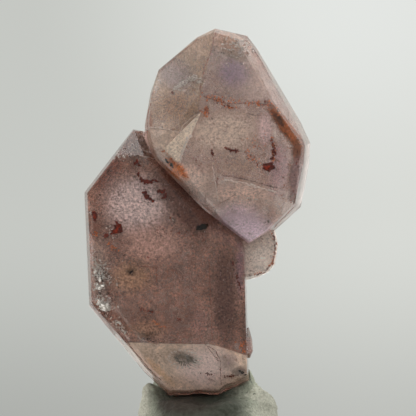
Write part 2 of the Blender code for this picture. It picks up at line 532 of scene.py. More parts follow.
@dataclass(frozen=True)
class ScreenFinish:
    """The softly lit screen: darker on the left and below, brightest high on the right."""

    name: str = "lit_screen"
    left: Colour = (0.56, 0.575, 0.545)
    right: Colour = (0.685, 0.70, 0.665)
    bright: Colour = (0.77, 0.79, 0.765)
    low_shade: float = 0.72
    low_height: float = -70.0
    full_height: float = 25.0
    half_width: float = 78.0
    bright_place: Point = (60.0, 900.0, 110.0)
    bright_reach: Point = (130.0, 400.0, 90.0)

    def material(self) -> Material:
        """Makes the screen's material.

        Returns:
            The material.
        """
        recipe = Recipe(self.name)
        split = recipe.add("ShaderNodeSeparateXYZ", Vector=recipe.place)
        across = recipe.remap(split.outputs["X"], -self.half_width, self.half_width)
        colour = recipe.mix(across, self.left, self.right)
        bright = recipe.remap(recipe.blob(self.bright_place, self.bright_reach), 0.0, 1.0)
        colour = recipe.mix(bright, colour, self.bright)
        upward = recipe.remap(split.outputs["Z"], self.low_height, self.full_height, self.low_shade)
        recipe.set(
            Base_Color=(0.0, 0.0, 0.0, 1.0),
            Roughness=1.0,
            Specular_IOR_Level=0.0,
            Emission_Color=recipe.shade(colour, upward),
            Emission_Strength=1.0,
        )
        return recipe.material


def add_piece(name: str, bm: BMesh, material: Material) -> Object:
    """Turns a bmesh in millimetres into an object in metres at the origin.

    Args:
        name: The piece's name.
        bm: Its shape, which is freed.
        material: Its material.

    Returns:
        The object.
    """
    bmesh.ops.scale(bm, vec=(MM, MM, MM), verts=bm.verts[:])
    mesh = bpy.data.meshes.new(name)
    bm.to_mesh(mesh)
    bm.free()
    mesh.materials.append(material)
    obj = bpy.data.objects.new(name, mesh)
    bpy.context.scene.collection.objects.link(obj)
    return obj


def ride(obj: Object) -> Object:
    """Makes a piece part of the specimen.

    Args:
        obj: The piece.

    Returns:
        The same piece.
    """
    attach(obj, ROOT)
    log.info("%s: %d faces", obj.name, len(obj.data.polygons))
    return obj


def welded_copy(node: str) -> BMesh:
    """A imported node's shape in millimetres, its loose triangles welded together.

    Args:
        node: The node's name.

    Returns:
        The shape.
    """
    bm = bmesh.new()
    bm.from_mesh(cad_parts[node].data)
    bmesh.ops.scale(bm, vec=(1 / MM,) * 3, verts=bm.verts[:])
    bmesh.ops.remove_doubles(bm, verts=bm.verts[:], dist=WELD_DISTANCE)
    return bm


def sharp_edges(bm: BMesh, degrees: float) -> list[BMEdge]:
    """The edges of a shape that turn by more than an angle in degrees."""
    limit = math.radians(degrees)
    return [edge for edge in bm.edges if edge.is_manifold and edge.calc_face_angle(0.0) > limit]


@dataclass(frozen=True)
class Crystal:
    """One tabular crystal: its outline in its own plane, and the faces in front and behind.

    plane is the depth y of the crystal's own plane at pivot, and how y grows along +x and along +z.
    Outline corners are x, z, clockwise. A face is a point x, z, its height over the plane, and how its
    y grows along +x and along +z. clear_rims is how wide the crystal is clear inside each side, and
    ledge_depth is how far its back is sunk.
    """

    pivot: Place
    plane: Point
    outline: tuple[Place, ...]
    front_leans: tuple[float, ...]
    back_leans: tuple[float, ...]
    front_faces: tuple[tuple[float, ...], ...]
    back_faces: tuple[tuple[float, ...], ...]
    clear_rims: tuple[float, ...]
    ledge_depth: float = 0.0

    def mid_depth(self, x: float, z: float) -> float:
        """Depth y of the crystal's own plane at a place."""
        depth, along_x, along_z = self.plane
        return depth + along_x * (x - self.pivot[0]) + along_z * (z - self.pivot[1])

    def front_depth(self, x: float, z: float) -> float:
        """Finds the depth of the crystal's front surface.

        Args:
            x: Place along x.
            z: Place along z.

        Returns:
            The depth y there.
        """
        return max(
            self.mid_depth(px, pz) - height + along_x * (x - px) + along_z * (z - pz)
            for px, pz, height, along_x, along_z in self.front_faces
        )

    def side_planes(self, deeper: float) -> list[Plane]:
        """Two planes through each side of the outline, moved inwards past its clear rim.

        Args:
            deeper: How far past the clear rim.

        Returns:
            A point and an outward normal for each plane.
        """
        corners = [Vector((x, self.mid_depth(x, z), z)) for x, z in self.outline]
        planes = []
        for index, start in enumerate(corners):
            along = (corners[(index + 1) % len(corners)] - start).normalized()
            outward = along.cross(Vector((0, 1, 0))).normalized()
            backward = outward.cross(along)
            backward *= math.copysign(1, backward.y)
            rim = self.clear_rims[index] + deeper
            for lean, way in ((self.front_leans[index], -1), (self.back_leans[index], 1)):
                angle = math.radians(lean)
                normal = outward * math.cos(angle) + backward * way * math.sin(angle)
                planes.append((start - normal * rim, normal))
        return planes

    def broad_planes(self, sunk: float) -> list[Plane]:
        """The planes of the faces in front and behind, moved inwards.

        Args:
            sunk: How far inwards.

        Returns:
            A point and an outward normal for each plane.
        """
        planes = []
        sides = (
            (self.front_faces, Side.FRONT.value, sunk),
            (self.back_faces, Side.BACK.value, sunk + self.ledge_depth),
        )
        for faces, way, inset in sides:
            for x, z, height, along_x, along_z in faces:
                normal = Vector((along_x, -1, along_z)).normalized() * way
                point = Vector((x, self.mid_depth(x, z) - way * height, z))
                planes.append((point - normal * inset, normal))
        return planes

    def holds(self, place: Vector, margin: float) -> bool:
        """Whether a place lies inside the crystal, away from its faces.

        Args:
            place: The place.
            margin: How far it must be from every face.

        Returns:
            True where it is inside.
        """
        planes = self.side_planes(0.0) + self.broad_planes(0.0)
        rims = [rim for rim in self.clear_rims for _ in (Side.FRONT, Side.BACK)] + [0.0] * len(planes)
        return all(
            (place - point).dot(normal) < rim - margin
            for (point, normal), rim in zip(planes, rims)
        )

    def shape(
        self, deeper: float, sunk: float, cuts: tuple[tuple[Place, Place], ...] = (), back: float = 0.0
    ) -> BMesh:
        """A block cut down by all the crystal's planes.

        Args:
            deeper: How far the sides are moved inwards past the clear rim.
            sunk: How far the broad faces are moved inwards.
            cuts: Further upright planes, each a point x, z and an outward direction x, z.
            back: How deep the shape reaches behind the crystal's front, 0 for right through.

        Returns:
            The shape.
        """
        bm = bmesh.new()
        bmesh.ops.create_cube(bm, size=BLOCK_SIZE, matrix=Matrix.Translation(BLOCK_MIDDLE))
        planes = self.side_planes(deeper) + self.broad_planes(sunk)
        for (x, z), (out_x, out_z) in cuts:
            planes.append((Vector((x, 0, z)), Vector((out_x, 0, out_z)).normalized()))
        if back:
            x, z = cuts[0][0]
            _, slope_x, slope_z = self.plane
            point = Vector((x, self.front_depth(x, z) + back, z))
            planes.append((point, Vector((-slope_x, 1, -slope_z)).normalized()))
        for point, normal in planes:
            self.cut_away(bm, point, normal)
        bmesh.ops.recalc_face_normals(bm, faces=bm.faces[:])
        return bm

    @staticmethod
    def cut_away(bm: BMesh, point: Vector, normal: Vector) -> None:
        """Cuts off what lies outside a plane, and closes the cut.

        Args:
            bm: The shape.
            point: A point of the plane.
            normal: Its outward direction.
        """
        cut = bmesh.ops.bisect_plane(
            bm,
            geom=bm.verts[:] + bm.edges[:] + bm.faces[:],
            dist=CUT_DISTANCE,
            plane_co=point,
            plane_no=normal,
            clear_outer=True,
        )
        edges = [part for part in cut["geom_cut"] if isinstance(part, BMEdge)]
        rim = [edge for edge in edges if edge.is_boundary]
        if rim:
            bmesh.ops.edgeloop_fill(bm, edges=rim)


LOWER = Crystal(
    pivot=(-4.0, 22.0),
    plane=(-0.9, 0.03, -0.04),
    outline=(
        (-8.1, 39.6), (-4.7, 39.0), (0.6, 35.6), (5.0, 28.0), (6.0, 24.2), (6.45, 8.1),
        (2.6, 6.3), (-3.6, 6.25), (-6.6, 9.0), (-13.6, 17.5), (-14.2, 31.7),
    ),
    front_leans=(12, 18, 15, 12, 6, 20, 24, 14, 12, 9, 8),
    back_leans=(24, 20, 26, 24, 16, 30, 28, 26, 24, 20, 26),
    front_faces=(
        (-4.0, 22.0, 3.7, -0.01, 0.005),
        (1.75, 22.0, 3.82, 0.50, 0.0),
        (-4.0, 12.9, 4.06, 0.02, -0.50),
        (-9.0, 36.0, 3.05, 0.0, 0.55),
        (-10.9, 22.0, 3.43, -0.26, -0.13),
        (2.66, 27.75, 1.66, 1.12, 1.0),
    ),
    back_faces=(
        (-3.0, 22.0, 7.1, 0.04, -0.03),
        (1.6, 22.0, 7.0, -0.62, -0.05),
        (-9.4, 22.0, 7.2, 0.55, 0.06),
        (-3.0, 33.2, 7.4, 0.05, -0.72),
        (-3.0, 13.6, 6.8, -0.04, 0.52),
    ),
    clear_rims=(0.25, 0.25, 0.25, 0.30, 0.12, 0.25, 0.25, 0.30, 0.75, 0.12, 0.25),
    ledge_depth=0.96,
)

UPPER = Crystal(
    pivot=(1.3, 29.75),
    plane=(0.4, 0.08, -0.22),
    outline=(
        (2.2, 52.1), (6.2, 51.2), (7.5, 49.5), (13.0, 40.4), (14.15, 37.9), (14.05, 35.4),
        (13.0, 29.9), (9.4, 26.6), (5.9, 24.5), (0.1, 28.7), (-5.7, 35.2), (-6.65, 38.0),
        (-6.6, 40.2), (-5.85, 44.2), (-4.85, 47.0), (-0.1, 51.0),
    ),
    front_leans=(20, 12, 9, 9, 8, 8, 8, 8, 18, 18, 16, 14, 12, 12, 12, 16),
    back_leans=(18, 16, 14, 18, 22, 20, 22, 22, 22, 20, 18, 16, 16, 14, 16, 18),
    front_faces=(
        (6.5, 33.5, 6.36, 0.0, -0.06),
        (5.0, 43.0, 4.72, 0.024, 0.12),
        (0.3, 44.5, 3.96, -0.45, 0.248),
        (3.2, 33.75, 6.06, -0.14, -0.62),
        (-0.6, 37.5, 5.15, -0.20, -0.20),
        (-0.9, 32.7, 5.16, -0.75, -0.66),
        (11.2, 40.1, 5.67, 0.86, 0.52),
        (12.7, 35.0, 6.60, 0.98, -0.18),
    ),
    back_faces=(
        (5.0, 38.0, 5.0, 0.05, -0.16),
        (5.0, 44.6, 5.2, 0.08, -0.80),
        (9.4, 38.0, 5.2, -0.50, -0.12),
        (-0.6, 38.0, 4.6, 0.52, -0.22),
        (5.0, 31.4, 5.0, -0.05, 0.42),
    ),
    clear_rims=(
        0.20, 0.45, 1.35, 1.45, 1.35, 1.15, 0.40, 0.30, 0.30, 0.90, 0.50, 0.08, 0.08, 0.08, 0.08, 0.10,
    ),
    ledge_depth=0.32,
)

THIRD = Crystal(
    pivot=(8.0, 25.0),
    plane=(1.7, 0.0, -0.02),
    outline=(
        (5.9, 30.4), (8.8, 29.2), (9.7, 27.2), (10.15, 25.2), (9.75, 22.6), (9.0, 21.7),
        (7.6, 21.0), (6.1, 20.6), (2.6, 20.2), (1.0, 25.6),
    ),
    front_leans=(20, 20, 16, 18, 20, 22, 20, 16, 14, 14),
    back_leans=(30, 34, 30, 26, 30, 32, 34, 30, 20, 20),
    front_faces=((8.0, 25.0, 1.2, 0.05, -0.04),),
    back_faces=(
        (7.0, 25.0, 3.1, -0.06, 0.05),
        (8.2, 25.0, 3.1, -0.70, 0.10),
    ),
    clear_rims=(0.06,) * 10,
)

SPLINTER = Crystal(
    pivot=(6.0, 13.0),
    plane=(0.2, 0.0, 0.0),
    outline=((5.2, 14.9), (6.45, 14.7), (6.85, 13.2), (6.95, 11.8), (6.6, 10.9), (5.2, 10.6)),
    front_leans=(20, 14, 12, 14, 26, 20),
    back_leans=(20, 14, 12, 14, 26, 20),
    front_faces=((6.2, 12.8, 1.4, 0.9, 0.0),),
    back_faces=((6.2, 12.8, 1.6, -0.8, 0.0),),
    clear_rims=(0.08,) * 6,
)

# Shells struck off the broken foot: centre and radius of each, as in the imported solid.
FOOT_SHELLS = (
    ((0.3, -1.6, 3.9), 3.1),
    ((4.6, -2.2, 4.9), 3.0),
)

UPPER_ZONES = (
    Zone((-2.2, -4.0, 47.6), (5.2, 9.0, 4.4), (0.46, 0.41, 0.37), 0.85, 0.36),
    Zone((-3.6, -5.0, 42.2), (4.6, 9.0, 3.2), (0.50, 0.31, 0.19), 0.85, 0.44),
    Zone((3.2, -6.0, 39.2), (6.4, 9.0, 3.8), (1.0, 0.85, 0.73), 0.85, 0.64),
    Zone((8.4, -6.0, 39.6), (1.4, 7.0, 3.2), (1.0, 0.78, 0.79), 0.80, 0.78),
    Zone((5.2, -6.0, 35.1), (3.8, 9.0, 1.7), (0.62, 0.46, 0.37), 0.8, 0.50),
    Zone((5.2, -6.0, 31.3), (5.0, 9.0, 2.3), (0.94, 0.69, 0.59), 0.95, 0.88),
    Zone((10.2, -6.0, 34.6), (2.2, 8.0, 5.0), (0.74, 0.50, 0.56), 0.8, 0.40),
    Zone((5.0, -5.0, 28.0), (4.8, 8.0, 3.4), (1.0, 0.80, 0.92), 1.0, 0.97),
    Zone((9.3, -5.0, 28.6), (1.9, 8.0, 1.8), (0.43, 0.25, 0.19), 0.9, 0.80),
    Zone((-1.0, -5.0, 33.2), (3.8, 8.0, 3.2), (0.90, 0.69, 0.60), 0.95, 0.92),
    Zone((9.4, -0.5, 44.4), (1.5, 6.0, 6.5), (0.42, 0.45, 0.43), 0.9, 0.45, tilt=-31.0),
    Zone((12.6, -0.5, 38.9), (1.4, 6.0, 3.0), (0.66, 0.65, 0.61), 0.9, 0.45, tilt=-25.0),
    Zone((12.6, -0.5, 33.6), (1.4, 6.0, 5.0), (0.66, 0.64, 0.60), 0.9, 0.45, tilt=11.0),
    Zone((-2.5, -5.6, 34.7), (2.4, 5.0, 0.95), (1.0, 0.32, 0.09), 1.0, 0.97, tilt=43.0),
    Zone((-6.1, -4.0, 40.6), (0.8, 6.0, 1.6), (0.46, 0.20, 0.13), 0.9, 0.65),
)

RUST_ZONES = (
    Zone((12.1, -6.0, 33.6), (1.1, 6.0, 5.4), (0.34, 0.21, 0.20), 1.0, 0.75, tilt=6.4),
    Zone((10.8, -6.0, 39.8), (1.0, 6.0, 4.8), (0.42, 0.125, 0.040), 1.0, 0.97, tilt=-35.5),
    Zone((12.3, -6.0, 37.0), (0.9, 6.0, 2.0), (0.26, 0.09, 0.04), 0.9, 0.90, tilt=6.4),
    Zone((10.05, -6.0, 40.7), (0.55, 6.0, 1.9), (0.06, 0.028, 0.018), 0.85, 0.97, tilt=-35.5),
)

TIP_ZONES = (
    Zone((6.0, -2.0, 26.4), (5.4, 9.0, 4.0), (0.98, 0.78, 0.88), 1.0, 0.95),
)

FACE_ZONES = (
    Zone((-2.8, -5.0, 46.4), (3.4, 8.0, 2.6), (0.54, 0.45, 0.46), 0.8, 0.50, tilt=30.0),
    Zone((-2.6, -5.0, 42.4), (2.6, 8.0, 2.4), (0.47, 0.28, 0.175), 0.8, 0.50),
    Zone((-6.1, -4.0, 40.6), (0.9, 6.0, 2.0), (0.36, 0.14, 0.08), 0.9, 0.80),
)

TOP_ZONES = (
    Zone((4.4, -6.0, 46.5), (2.8, 8.0, 2.5), (0.42, 0.33, 0.45), 0.85, 0.60, tilt=20.0),
    Zone((4.6, -6.0, 48.8), (3.0, 8.0, 0.9), (0.30, 0.24, 0.19), 0.8, 0.70, tilt=20.0),
    Zone((4.4, -6.0, 50.4), (4.2, 8.0, 1.9), (0.66, 0.42, 0.30), 0.9, 0.70, tilt=10.0),
    Zone((7.6, -6.0, 44.0), (2.2, 8.0, 2.0), (0.78, 0.62, 0.56), 0.7, 0.45),
)

LOWER_ZONES = (
    Zone((-8.4, -4.0, 37.4), (4.5, 9.0, 2.8), (0.20, 0.14, 0.12), 0.9, 0.70),
    Zone((-11.2, -4.0, 34.4), (4.2, 9.0, 1.8), (0.225, 0.083, 0.060), 0.9, 0.68, tilt=-50.0),
    Zone((-7.6, -4.0, 30.2), (5.8, 8.0, 5.2), (0.95, 0.78, 0.75), 0.88, 0.76),
    Zone((-5.5, -4.0, 25.2), (5.6, 8.0, 3.2), (0.86, 0.55, 0.46), 0.8, 0.60),
    # painted shadow: the dark band that the upper crystal casts along their contact
    Zone((-1.8, -4.0, 31.0), (3.4, 9.0, 8.6), (0.155, 0.070, 0.052), 1.0, 0.97, tilt=-37.0),
    # painted shadow: the end of that band, under the upper crystal's tip
    Zone((0.2, -4.0, 28.6), (3.6, 9.0, 2.8), (0.14, 0.055, 0.038), 0.9, 0.92),
    # painted shade: the lower crystal's right-facing band, turned away from the light
    Zone((3.4, -4.0, 19.0), (2.5, 9.0, 9.4), (0.135, 0.060, 0.044), 0.97, 0.95),
    Zone((5.3, -3.0, 22.4), (0.9, 9.0, 5.2), (0.27, 0.15, 0.17), 0.85, 0.80),
    Zone((-8.2, -4.0, 21.2), (3.6, 8.0, 2.8), (0.68, 0.41, 0.26), 0.85, 0.62),
    Zone((-6.2, -4.0, 14.7), (3.8, 8.0, 1.5), (0.50, 0.29, 0.19), 0.8, 0.70),
    Zone((0.3, -4.0, 15.6), (1.5, 8.0, 3.0), (0.50, 0.29, 0.25), 0.7, 0.50),
    Zone((-12.3, -3.5, 22.0), (1.8, 8.0, 6.5), (0.50, 0.37, 0.31), 0.85, 0.68),
    Zone((5.5, -4.0, 9.3), (1.3, 6.0, 1.0), (0.22, 0.15, 0.12), 0.9, 0.80),
    Zone((-0.4, -4.0, 6.4), (5.4, 9.0, 1.0), (0.95, 0.74, 0.64), 0.95, 0.95),
    Zone((5.9, -3.0, 15.4), (1.1, 9.0, 4.6), (0.14, 0.070, 0.050), 0.95, 0.95),
    Zone((-8.3, -4.6, 21.8), (1.0, 3.0, 0.9), (0.13, 0.065, 0.03), 0.9, 0.92),
    Zone((-6.3, -4.6, 13.8), (1.7, 3.0, 0.9), (0.13, 0.065, 0.035), 0.9, 0.92),
)

FOOT_ZONES = (
    Zone((-6.4, -3.0, 9.9), (4.8, 8.0, 1.1), (0.96, 0.76, 0.68), 0.95, 0.95, tilt=48.0),
    Zone((-4.9, -3.0, 9.5), (3.6, 8.0, 0.7), (0.74, 0.47, 0.28), 0.85, 0.90, tilt=44.0),
    Zone((0.9, -3.0, 9.9), (5.2, 8.0, 4.2), (0.93, 0.74, 0.69), 1.0, 0.95),
    Zone((-1.85, -5.0, 11.25), (2.1, 8.0, 0.95), (0.33, 0.25, 0.195), 1.0, 0.97, tilt=16.0),
    Zone((5.4, -4.0, 9.3), (1.5, 6.0, 1.0), (0.22, 0.15, 0.12), 0.9, 0.80),
    Zone((3.8, -4.0, 10.6), (1.6, 6.0, 1.4), (0.50, 0.36, 0.31), 0.8, 0.70),
)

SPLINTER_ZONES = (
    Zone((6.5, 0.0, 12.2), (1.1, 3.0, 1.8), (0.26, 0.070, 0.025), 1.0, 0.97),
)

UPPER_SPECKS = (
    Specks((0.30, 0.16, 0.12), 0.50, 0.60, 0.7, (2.2, 1.0, 1.0), 30.0),
    Specks((0.80, 0.68, 0.58), 0.32, 0.61, 0.6),
    Specks((0.38, 0.24, 0.34), 0.42, 0.64, 0.6),
)

LOWER_SPECKS = (
    Specks((0.12, 0.05, 0.04), 0.40, 0.60, 0.75, (1.6, 1.0, 0.8)),
    Specks((0.60, 0.44, 0.38), 0.26, 0.61, 0.6),
    Specks((0.22, 0.08, 0.09), 0.34, 0.63, 0.7),
    Specks((0.40, 0.17, 0.08), 0.30, 0.66, 0.6, (2.4, 1.0, 0.6)),
    Specks((0.11, 0.05, 0.035), 0.20, 0.59, 0.55, (6.0, 1.0, 0.6)),
    Specks((0.36, 0.22, 0.17), 0.20, 0.61, 0.45, (0.6, 1.0, 6.0)),
)

CLEAR_AMETHYST = ClearFinish(
    name="clear_amethyst",
    tint=(0.95, 0.93, 0.93),
    frost=(0.96, 0.95, 0.94),
    frosted=(
        ((5.2, -6.5, 49.9), (2.0, 6.0, 1.4)),
        ((-1.2, -5.6, 45.3), (2.2, 5.0, 1.0)),
        ((5.8, -5.0, 30.8), (3.0, 5.0, 1.0)),
        ((-11.8, -4.0, 21.4), (1.8, 5.0, 2.2)),
        ((-11.5, -4.0, 17.8), (1.6, 5.0, 1.6)),
        ((-9.7, -3.5, 14.9), (1.7, 5.0, 1.3)),
        ((-8.6, -3.5, 37.0), (2.0, 5.0, 1.4)),
    ),
    absorption=(0.68, 0.40, 0.33),
    density=60.0,
)


@dataclass(frozen=True)
class Haze:
    """One haze: its crystal, how far it lies past the clear rim and under the broad faces, its finish.

    cuts are planes that bound it further, each a point x, z and an outward direction x, z, and back is
    how deep it reaches behind the crystal's front, where that is not right through.
    """

    crystal: Crystal
    deeper: float
    sunk: float
    finish: HazeFinish
    cuts: tuple[tuple[Place, Place], ...] = ()
    back: float = 0.0


HAZES = (
    Haze(LOWER, 0.0, 0.50, HazeFinish(
        "lower_outer_haze", (0.72, 0.42, 0.32), (0.32, 0.155, 0.105), LOWER_ZONES, LOWER_SPECKS,
        thin=0.08, thick=0.50, shift=0.0, grain=0.75,
    )),
    Haze(LOWER, 0.9, 1.4, HazeFinish(
        "lower_middle_haze", (0.70, 0.40, 0.30), (0.32, 0.155, 0.11), LOWER_ZONES, LOWER_SPECKS,
        thin=0.1, thick=0.55, shift=5.0,
    )),
    Haze(LOWER, 2.0, 2.7, HazeFinish(
        "lower_core_haze", (0.56, 0.31, 0.24), (0.26, 0.13, 0.095), LOWER_ZONES, LOWER_SPECKS,
        thin=0.2, thick=0.65, shift=9.0,
    )),
    Haze(UPPER, 0.0, 0.50, HazeFinish(
        "upper_outer_haze", (0.88, 0.69, 0.58), (0.62, 0.44, 0.36), UPPER_ZONES, UPPER_SPECKS,
        thin=0.03, thick=0.30, shift=14.0,
    )),
    Haze(UPPER, 0.9, 1.5, HazeFinish(
        "upper_middle_haze", (0.86, 0.66, 0.56), (0.60, 0.42, 0.34), UPPER_ZONES, UPPER_SPECKS,
        thin=0.06, thick=0.34, shift=19.0,
    )),
    Haze(UPPER, 2.2, 3.0, HazeFinish(
        "upper_core_haze", (0.80, 0.60, 0.50), (0.54, 0.38, 0.31), UPPER_ZONES, UPPER_SPECKS,
        thin=0.10, thick=0.45, shift=27.0,
    )),
    Haze(THIRD, 0.0, 0.25, HazeFinish(
        "third_haze", (1.0, 0.90, 0.82), (1.0, 0.84, 0.75), (), UPPER_SPECKS,
        thin=0.84, thick=1.0, shift=33.0, grain=0.4,
    ), back=1.4, cuts=(
        ((10.4, 25.0), (1.0, 0.0)),
    )),
    Haze(THIRD, 0.3, 0.5, HazeFinish(
        "third_core_haze", (0.90, 0.70, 0.62), (0.64, 0.45, 0.38), (), UPPER_SPECKS,
        thin=0.06, thick=0.32, shift=61.0,
    )),
    Haze(SPLINTER, 0.0, 0.15, HazeFinish(
        "splinter_haze", (0.34, 0.19, 0.13), (0.18, 0.08, 0.045), SPLINTER_ZONES, LOWER_SPECKS,
        thin=0.5, thick=0.9, shift=37.0,
    )),
    Haze(UPPER, 0.0, 0.32, HazeFinish(
        "upper_top_veil", (0.78, 0.64, 0.60), (0.54, 0.42, 0.38), TOP_ZONES, UPPER_SPECKS,
        thin=0.2, thick=0.55, shift=41.0,
    ), back=4.4, cuts=(
        ((0.5, 43.9), (-0.16, -1.0)),
        ((0.5, 43.9), (-1.0, 0.22)),
        ((9.8, 42.4), (0.86, 0.52)),
    )),
    Haze(UPPER, -1.1, 0.28, HazeFinish(
        "upper_rust_veil", (0.34, 0.12, 0.04), (0.20, 0.06, 0.02), RUST_ZONES, UPPER_SPECKS[:1],
        thin=0.0, thick=0.0, shift=43.0,
    ), back=0.9, cuts=(
        ((9.28, 42.75), (0.814, 0.581)),
        ((13.03, 37.5), (0.994, -0.112)),
        ((8.2, 42.0), (-0.981, -0.196)),
        ((12.0, 31.0), (0.0, -1.0)),
        ((9.0, 45.0), (0.0, 1.0)),
    )),
    Haze(UPPER, -0.1, 0.25, HazeFinish(
        "upper_tip_veil", (0.98, 0.80, 0.84), (0.80, 0.62, 0.64), TIP_ZONES, UPPER_SPECKS,
        thin=0.0, thick=0.0, shift=53.0, grain=0.4,
    ), back=2.4, cuts=(
        ((6.0, 29.6), (0.0, 1.0)),
    )),
    Haze(UPPER, 0.02, 0.26, HazeFinish(
        "upper_face_veil", (0.76, 0.59, 0.46), (0.50, 0.36, 0.25), FACE_ZONES, UPPER_SPECKS,
        thin=0.20, thick=0.60, shift=57.0,
    ), back=5.0, cuts=(
        ((0.45, 43.9), (1.0, -0.22)),
        ((0.45, 41.8), (0.7, -0.71)),
        ((-2.2, 39.35), (-0.05, -1.0)),
    )),
    Haze(UPPER, 0.2, 0.30, HazeFinish(
        "upper_wedge_veil", (1.0, 0.87, 0.73), (1.0, 0.84, 0.70), (), UPPER_SPECKS,
        thin=0.80, thick=0.98, shift=45.0, grain=0.40,
    ), back=1.4, cuts=(
        ((0.5, 41.75), (-0.7, 0.71)),
        ((0.5, 41.75), (0.915, -0.404)),
        ((-2.2, 35.6), (0.3, -1.0)),
    )),
    Haze(UPPER, 0.1, 0.40, HazeFinish(
        "upper_left_veil", (1.0, 0.82, 0.68), (0.80, 0.61, 0.49), (), UPPER_SPECKS,
        thin=0.45, thick=0.75, shift=47.0, grain=0.4,
    ), back=3.6, cuts=(
        ((-2.2, 39.3), (0.05, 1.0)),
        ((-2.3, 39.0), (1.0, -0.1)),
        ((-2.2, 35.6), (0.3, -1.0)),
    )),
    Haze(LOWER, 0.0, 0.30, HazeFinish(
        "lower_foot_veil", (1.0, 0.78, 0.62), (0.76, 0.56, 0.42), FOOT_ZONES, UPPER_SPECKS,
        thin=0.5, thick=0.85, shift=49.0, grain=0.28,
    ), back=5.0, cuts=(
        ((-4.0, 12.9), (0.02, 1.0)),
        ((1.6, 12.8), (0.35, 1.0)),
    )),
)


@dataclass(frozen=True)
class Flecks:
    """Inclusions of one kind, scattered round a place or strung along a line of places.

    spread is how far they stray along x and z, and depth their least and most depth under the front.
    """

    crystal: Crystal
    places: tuple[Place, ...]
    count: int
    size: float
    spread: Place = (0.12, 0.12)
    depth: Place = (0.12, 0.36)


@dataclass(frozen=True)
class Seam:
    """A thin healed crack or growth line just under a crystal's front, along a line of places."""

    crystal: Crystal
    places: tuple[Place, ...]
    width: float
    depth: float = 0.2


def lying_in(crystal: Crystal, kind: type, *rows: tuple) -> tuple:
    """Groups of flecks or seams in one crystal, each row being the further values of one."""
    return tuple(kind(crystal, *row) for row in rows)


IRON_FLECKS = lying_in(
    UPPER,
    Flecks,
    (((8.8, 34.9),), 18, 0.85, (0.40, 0.32)),
    (((9.1, 35.3), (9.4, 36.1), (9.5, 37.0), (9.2, 38.4)), 36, 0.32, (0.18, 0.2)),
    (((3.5, 37.2), (4.3, 36.9), (5.2, 36.8)), 20, 0.34, (0.12, 0.10)),
    (((5.9, 36.6), (6.8, 36.0), (7.4, 35.2)), 16, 0.20, (0.4, 0.4)),
    (((1.75, 37.0), (1.9, 36.3)), 8, 0.36, (0.05, 0.12)),
    (((0.9, 42.1), (1.2, 41.4)), 12, 0.22, (0.40, 0.4)),
    (((2.2, 43.0), (4.4, 42.3)), 16, 0.20, (0.4, 0.3)),
    (((7.6, 37.8),), 16, 0.14, (1.1, 0.9)),
    (((8.4, 42.9),), 4, 0.26, (0.12, 0.1)),
    (((10.7, 33.5),), 3, 0.22, (0.1, 0.1)),
    (((-3.2, 44.4), (-3.0, 44.0)), 6, 0.25, (0.1, 0.1)),
    (((12.5, 36.6), (12.2, 33.5), (11.8, 30.6)), 26, 0.20, (0.15, 0.4)),
    (((-0.6, 36.0), (0.6, 35.2)), 12, 0.16, (0.5, 0.3)),
    (((4.0, 38.0),), 70, 0.12, (6.0, 6.0), (0.15, 1.0)),
) + lying_in(
    LOWER,
    Flecks,
    (((-12.9, 29.2), (-12.8, 28.2)), 16, 0.55, (0.16, 0.22)),
    (((-9.8, 27.6), (-10.0, 27.0)), 22, 0.75, (0.45, 0.32)),
    (((-11.4, 26.2), (-10.5, 26.8)), 16, 0.60, (0.25, 0.15)),
    (((-7.6, 35.5), (-7.3, 35.1)), 9, 0.45, (0.2, 0.15)),
    (((-7.4, 34.0), (-6.9, 33.2), (-6.1, 33.0), (-5.1, 33.2)), 34, 0.45, (0.12, 0.10)),
    (((-6.7, 31.8), (-6.3, 31.1), (-5.5, 30.6)), 26, 0.50, (0.16, 0.12)),
    (((-5.0, 31.9), (-4.3, 31.8), (-4.0, 31.2), (-4.5, 30.7)), 26, 0.42, (0.10, 0.10)),
    (((-3.4, 28.5),), 5, 0.22, (0.12, 0.12)),
    (((-5.3, 27.0), (-2.0, 26.6), (1.3, 26.0)), 80, 0.15, (0.3, 0.5)),
    (((4.4, 23.0), (4.4, 22.5)), 7, 0.24, (0.1, 0.1)),
    (((4.8, 21.5), (5.0, 20.4), (5.4, 19.6)), 14, 0.28, (0.1, 0.15)),
    (((-6.2, 23.6),), 4, 0.2, (0.15, 0.1)),
    (((-7.1, 17.1), (-5.1, 16.7)), 20, 0.22, (0.1, 0.15)),
    (((-2.4, 15.8),), 8, 0.22, (0.25, 0.25)),
    (((1.1, 9.1),), 12, 0.22, (0.9, 0.35)),
    (((3.5, 8.6), (5.2, 8.9)), 30, 0.16, (0.4, 0.2)),
    (((-3.5, 22.0),), 170, 0.12, (9.0, 14.0), (0.15, 1.0)),
)

